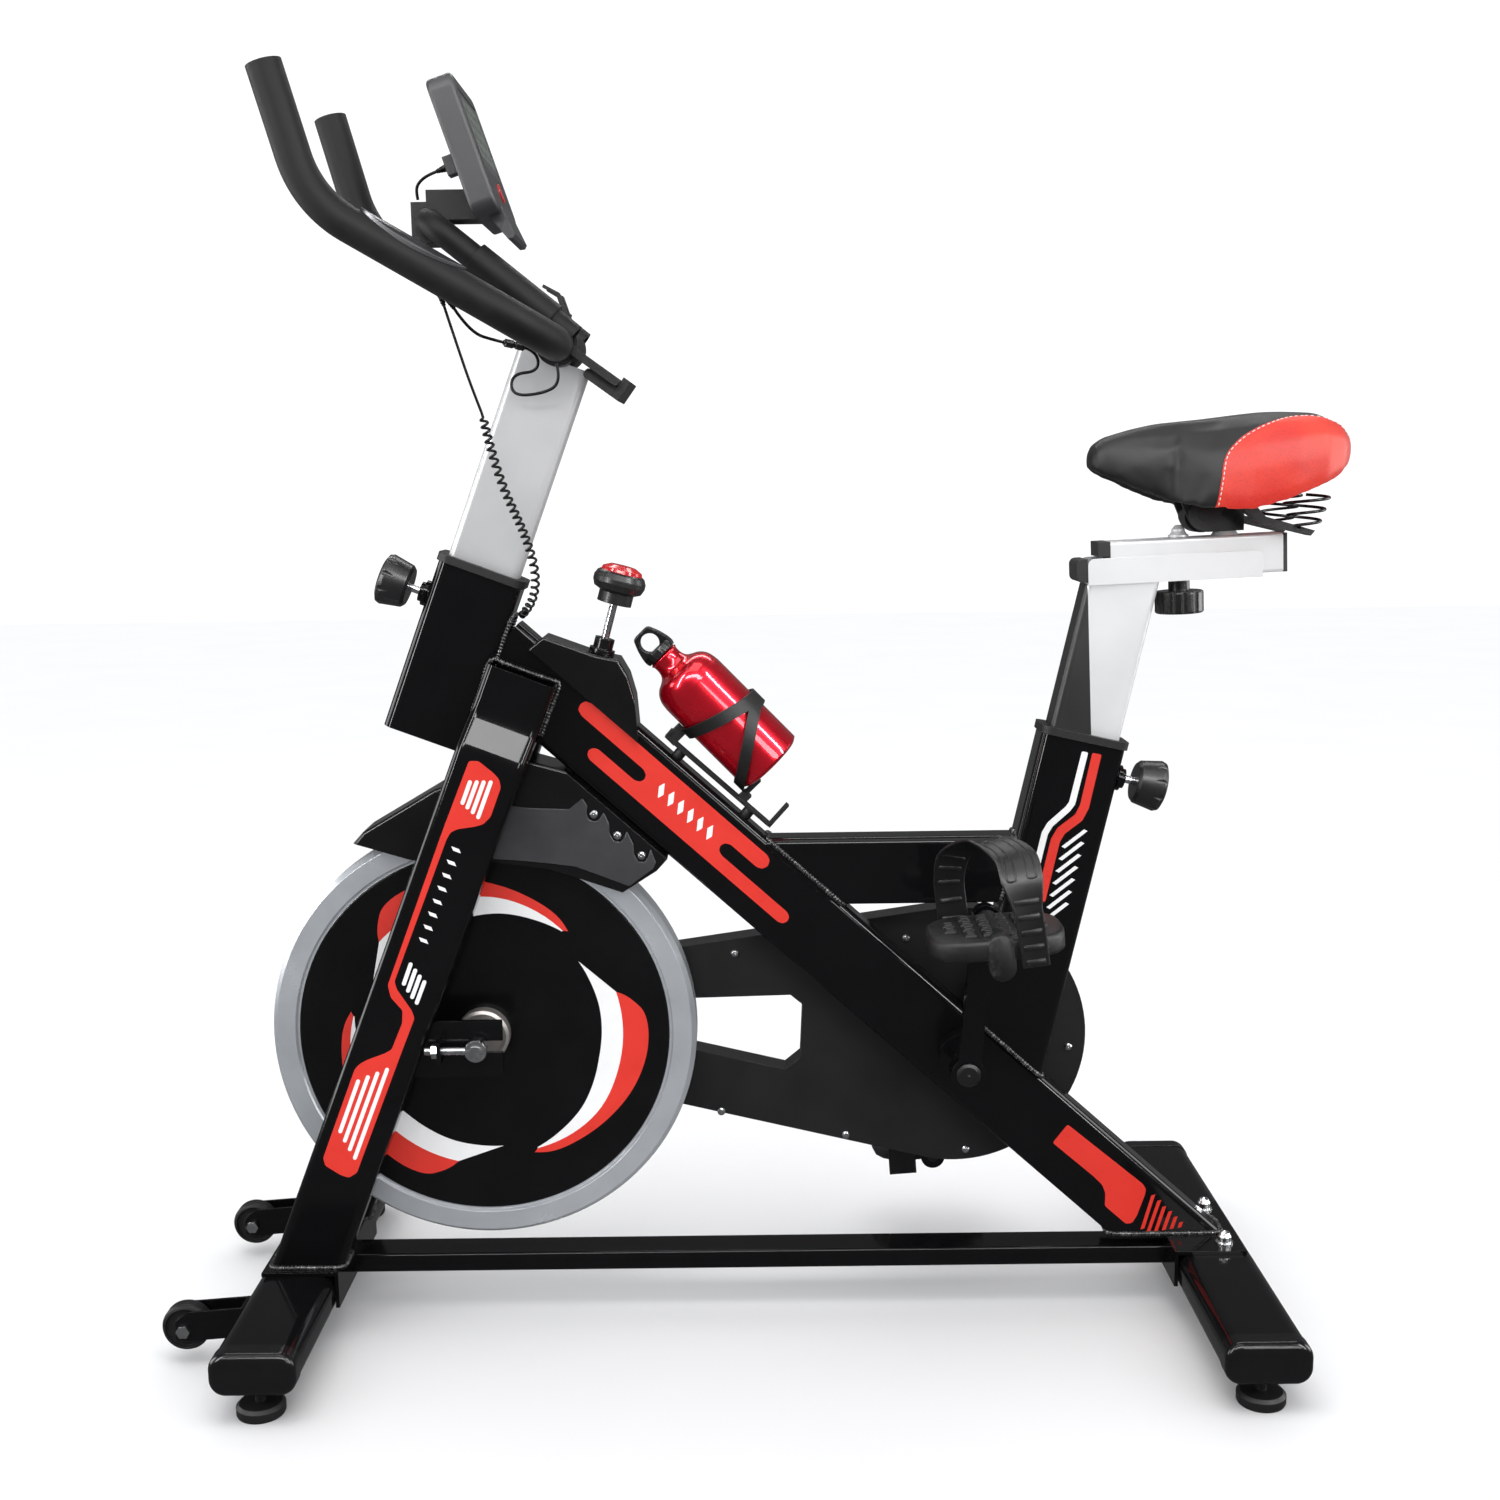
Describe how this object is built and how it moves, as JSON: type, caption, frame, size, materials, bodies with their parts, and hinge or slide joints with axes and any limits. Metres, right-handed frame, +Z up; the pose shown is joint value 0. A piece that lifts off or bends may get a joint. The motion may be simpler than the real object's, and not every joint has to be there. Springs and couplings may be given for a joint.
{
  "type": "indoor exercise bike",
  "caption": "Indoor exercise bike with a belt-driven flywheel, brake knob, height-set handlebar with console, sliding saddle, toe-strap pedals, bottle and levelling feet.",
  "frame": {"origin": "on the floor under the middle of the bike's overall box", "axes": "+X to the flywheel end, +Y to the rider's left, +Z up"},
  "size_m": [1.179, 0.5, 1.2404],
  "materials": {
    "main_diagonal_tube": "gloss powder coat with red stripes",
    "head_tube": "gloss powder coat",
    "fork_legs": "gloss powder coat with red panels",
    "seat_tube": "gloss powder coat with a white and red zigzag",
    "top_tube": "gloss powder coat",
    "base_rail": "gloss powder coat",
    "sleeve_collars": "moulded",
    "stabilizer_tubes": "gloss powder coat",
    "stabilizer_end_caps": "moulded",
    "stabilizer_cradles": "gloss powder coat",
    "frame_bolts": "zinc plated",
    "bottom_bracket": "gloss",
    "axle_brackets": "gloss",
    "flywheel_axle": "zinc plated",
    "belt_cover_inner": "moulded, fine grain",
    "belt_cover_outer": "moulded, fine grain",
    "pan_head_screws": "zinc plated",
    "drive_belt": "ribbed",
    "brake_housing": "moulded",
    "flywheel_fender": "moulded",
    "bottle_cage": "moulded",
    "wheel_brackets": "gloss",
    "flywheel_disc": "painted face, bare rim",
    "flywheel_hub": "polished",
    "crank_spindles": "turned",
    "left_crank_arm": "satin",
    "right_crank_arm": "satin",
    "drive_pulley": "moulded",
    "left_pedal": "moulded",
    "right_pedal": "moulded",
    "handlebar_post": "silver powder coat",
    "handlebar": "foam-dipped steel tube",
    "loop_grips": "ribbed sleeves",
    "pulse_sensors": "polished",
    "console": "moulded",
    "console_bracket": "moulded",
    "tablet_holder": "moulded",
    "sensor_cord": "cable jacket",
    "curly_cord": "coiled cable jacket",
    "pulse_cord": "cable jacket",
    "console_button": "moulded",
    "seat_post": "silver powder coat",
    "seat_slider": "silver powder coat",
    "saddle_clamp": "satin",
    "saddle_pad": "stitched vinyl with red sides",
    "saddle_pan": "moulded",
    "saddle_springs": "wire",
    "handlebar_pin_knob": "moulded",
    "seat_pin_knob": "moulded",
    "slider_knob": "moulded",
    "brake_rod": "zinc plated, felt pad",
    "brake_knob": "moulded, red dome",
    "bottle": "metallic red lacquer",
    "bottle_cap": "moulded",
    "front_left_foot": "moulded",
    "front_right_foot": "moulded",
    "rear_left_foot": "moulded",
    "rear_right_foot": "moulded",
    "left_transport_wheel": "moulded",
    "right_transport_wheel": "moulded"
  },
  "bodies": {
    "frame": {"main_diagonal_tube": "main_diagonal_tube", "head_tube": "head_tube", "fork_legs": "fork_legs", "seat_tube": "seat_tube", "top_tube": "top_tube", "base_rail": "base_rail", "sleeve_collars": "sleeve_collars", "stabilizer_tubes": "stabilizer_tubes", "stabilizer_end_caps": "stabilizer_end_caps", "stabilizer_cradles": "stabilizer_cradles", "frame_bolts": "frame_bolts", "bottom_bracket": "bottom_bracket", "axle_brackets": "axle_brackets", "flywheel_axle": "flywheel_axle", "belt_cover_inner": "belt_cover_inner", "belt_cover_outer": "belt_cover_outer", "pan_head_screws": "pan_head_screws", "drive_belt": "drive_belt", "brake_housing": "brake_housing", "flywheel_fender": "flywheel_fender", "bottle_cage": "bottle_cage", "wheel_brackets": "wheel_brackets"},
    "flywheel": {"flywheel_disc": "flywheel_disc", "flywheel_hub": "flywheel_hub"},
    "crank": {"crank_spindles": "crank_spindles", "left_crank_arm": "left_crank_arm", "right_crank_arm": "right_crank_arm", "drive_pulley": "drive_pulley"},
    "left_pedal": {"left_pedal": "left_pedal"},
    "right_pedal": {"right_pedal": "right_pedal"},
    "handlebar_post": {"handlebar_post": "handlebar_post", "handlebar": "handlebar", "loop_grips": "loop_grips", "pulse_sensors": "pulse_sensors", "console": "console", "console_bracket": "console_bracket", "tablet_holder": "tablet_holder", "sensor_cord": "sensor_cord", "curly_cord": "curly_cord", "pulse_cord": "pulse_cord"},
    "console_button": {"console_button": "console_button"},
    "seat_post": {"seat_post": "seat_post"},
    "seat_slider": {"seat_slider": "seat_slider", "saddle_clamp": "saddle_clamp"},
    "saddle": {"saddle_pad": "saddle_pad", "saddle_pan": "saddle_pan", "saddle_springs": "saddle_springs"},
    "handlebar_pin": {"handlebar_pin_knob": "handlebar_pin_knob"},
    "seat_pin": {"seat_pin_knob": "seat_pin_knob"},
    "slider_knob": {"slider_knob": "slider_knob"},
    "brake_rod": {"brake_rod": "brake_rod"},
    "brake_knob": {"brake_knob": "brake_knob"},
    "bottle": {"bottle": "bottle"},
    "bottle_cap": {"bottle_cap": "bottle_cap"},
    "front_left_foot": {"front_left_foot": "front_left_foot"},
    "front_right_foot": {"front_right_foot": "front_right_foot"},
    "rear_left_foot": {"rear_left_foot": "rear_left_foot"},
    "rear_right_foot": {"rear_right_foot": "rear_right_foot"},
    "left_transport_wheel": {"left_transport_wheel": "left_transport_wheel"},
    "right_transport_wheel": {"right_transport_wheel": "right_transport_wheel"}
  },
  "joints": [
    {"name": "flywheel_spin", "type": "hinge", "parent": "frame", "child": "flywheel", "pos_m": [0.275, 0, 0.303], "axis": [0, 1, 0], "continuous": true},
    {"name": "crank_spin", "type": "hinge", "parent": "frame", "child": "crank", "pos_m": [-0.215, 0, 0.279], "axis": [0, 1, 0], "continuous": true},
    {"name": "left_pedal_spin", "type": "hinge", "parent": "crank", "child": "left_pedal", "pos_m": [-0.23117, 0.15, 0.43818], "axis": [0, 1, 0], "continuous": true},
    {"name": "right_pedal_spin", "type": "hinge", "parent": "crank", "child": "right_pedal", "pos_m": [-0.19883, -0.15, 0.11982], "axis": [0, 1, 0], "continuous": true},
    {"name": "handlebar_height", "type": "slide", "parent": "frame", "child": "handlebar_post", "axis": [-0.3535, 0, 0.9354], "range_m": [-0.06, 0.04], "deforming": ["curly_cord"]},
    {"name": "console_button_press", "type": "slide", "parent": "handlebar_post", "child": "console_button", "axis": [0.9483, 0, -0.3173], "range_m": [0, 0.001], "stiffness_N_per_m": 500, "springref_m": -0.001},
    {"name": "handlebar_pin_pull", "type": "slide", "parent": "frame", "child": "handlebar_pin", "axis": [0.9354, 0, 0.3535], "range_m": [0, 0.01], "stiffness_N_per_m": 1200, "springref_m": -0.008},
    {"name": "seat_height", "type": "slide", "parent": "frame", "child": "seat_post", "axis": [-0.225, 0, 0.9744], "range_m": [-0.13, 0.06]},
    {"name": "seat_pin_pull", "type": "slide", "parent": "frame", "child": "seat_pin", "axis": [-0.9744, 0, -0.225], "range_m": [0, 0.01], "stiffness_N_per_m": 1200, "springref_m": -0.008},
    {"name": "slider_knob_turn", "type": "hinge", "parent": "seat_post", "child": "slider_knob", "pos_m": [-0.43405, 0, 0.75939], "axis": [0.0401, 0, 0.9992], "range_deg": [-180, 180]},
    {"name": "seat_slide", "type": "slide", "parent": "seat_post", "child": "seat_slider", "axis": [-0.9992, 0, 0.0401], "range_m": [0, 0.058]},
    {"name": "saddle_tilt", "type": "hinge", "parent": "seat_slider", "child": "saddle", "pos_m": [-0.452, 0, 0.823], "axis": [0, 1, 0], "range_deg": [-1, 12]},
    {"name": "brake_press", "type": "slide", "parent": "frame", "child": "brake_rod", "axis": [0.2689, 0, -0.9632], "range_m": [0, 0.006], "stiffness_N_per_m": 2500, "springref_m": -0.005},
    {"name": "brake_knob_turn", "type": "hinge", "parent": "brake_rod", "child": "brake_knob", "pos_m": [0.1258, 0, 0.7639], "axis": [-0.2689, 0, 0.9632], "range_deg": [-180, 180]},
    {"name": "bottle_slide", "type": "slide", "parent": "frame", "child": "bottle", "axis": [0.6947, 0, 0.7193], "range_m": [0, 0.01]},
    {"name": "bottle_cap_turn", "type": "hinge", "parent": "bottle", "child": "bottle_cap", "pos_m": [0.08843, 0, 0.69455], "axis": [0.6947, 0, 0.7193], "range_deg": [-180, 180]},
    {"name": "front_left_foot_height", "type": "slide", "parent": "frame", "child": "front_left_foot", "axis": [0, 0, 1], "range_m": [-0.01, 0]},
    {"name": "front_right_foot_height", "type": "slide", "parent": "frame", "child": "front_right_foot", "axis": [0, 0, 1], "range_m": [-0.01, 0]},
    {"name": "rear_left_foot_height", "type": "slide", "parent": "frame", "child": "rear_left_foot", "axis": [0, 0, 1], "range_m": [-0.01, 0]},
    {"name": "rear_right_foot_height", "type": "slide", "parent": "frame", "child": "rear_right_foot", "axis": [0, 0, 1], "range_m": [-0.01, 0]},
    {"name": "left_transport_wheel_spin", "type": "hinge", "parent": "frame", "child": "left_transport_wheel", "pos_m": [0.566, 0.121, 0.037], "axis": [0, 1, 0], "continuous": true},
    {"name": "right_transport_wheel_spin", "type": "hinge", "parent": "frame", "child": "right_transport_wheel", "pos_m": [0.566, -0.121, 0.037], "axis": [0, 1, 0], "continuous": true}
  ],
  "couplings": [
    {"joint": "crank_spin", "follows": "flywheel_spin", "ratio": 0.3}
  ]
}
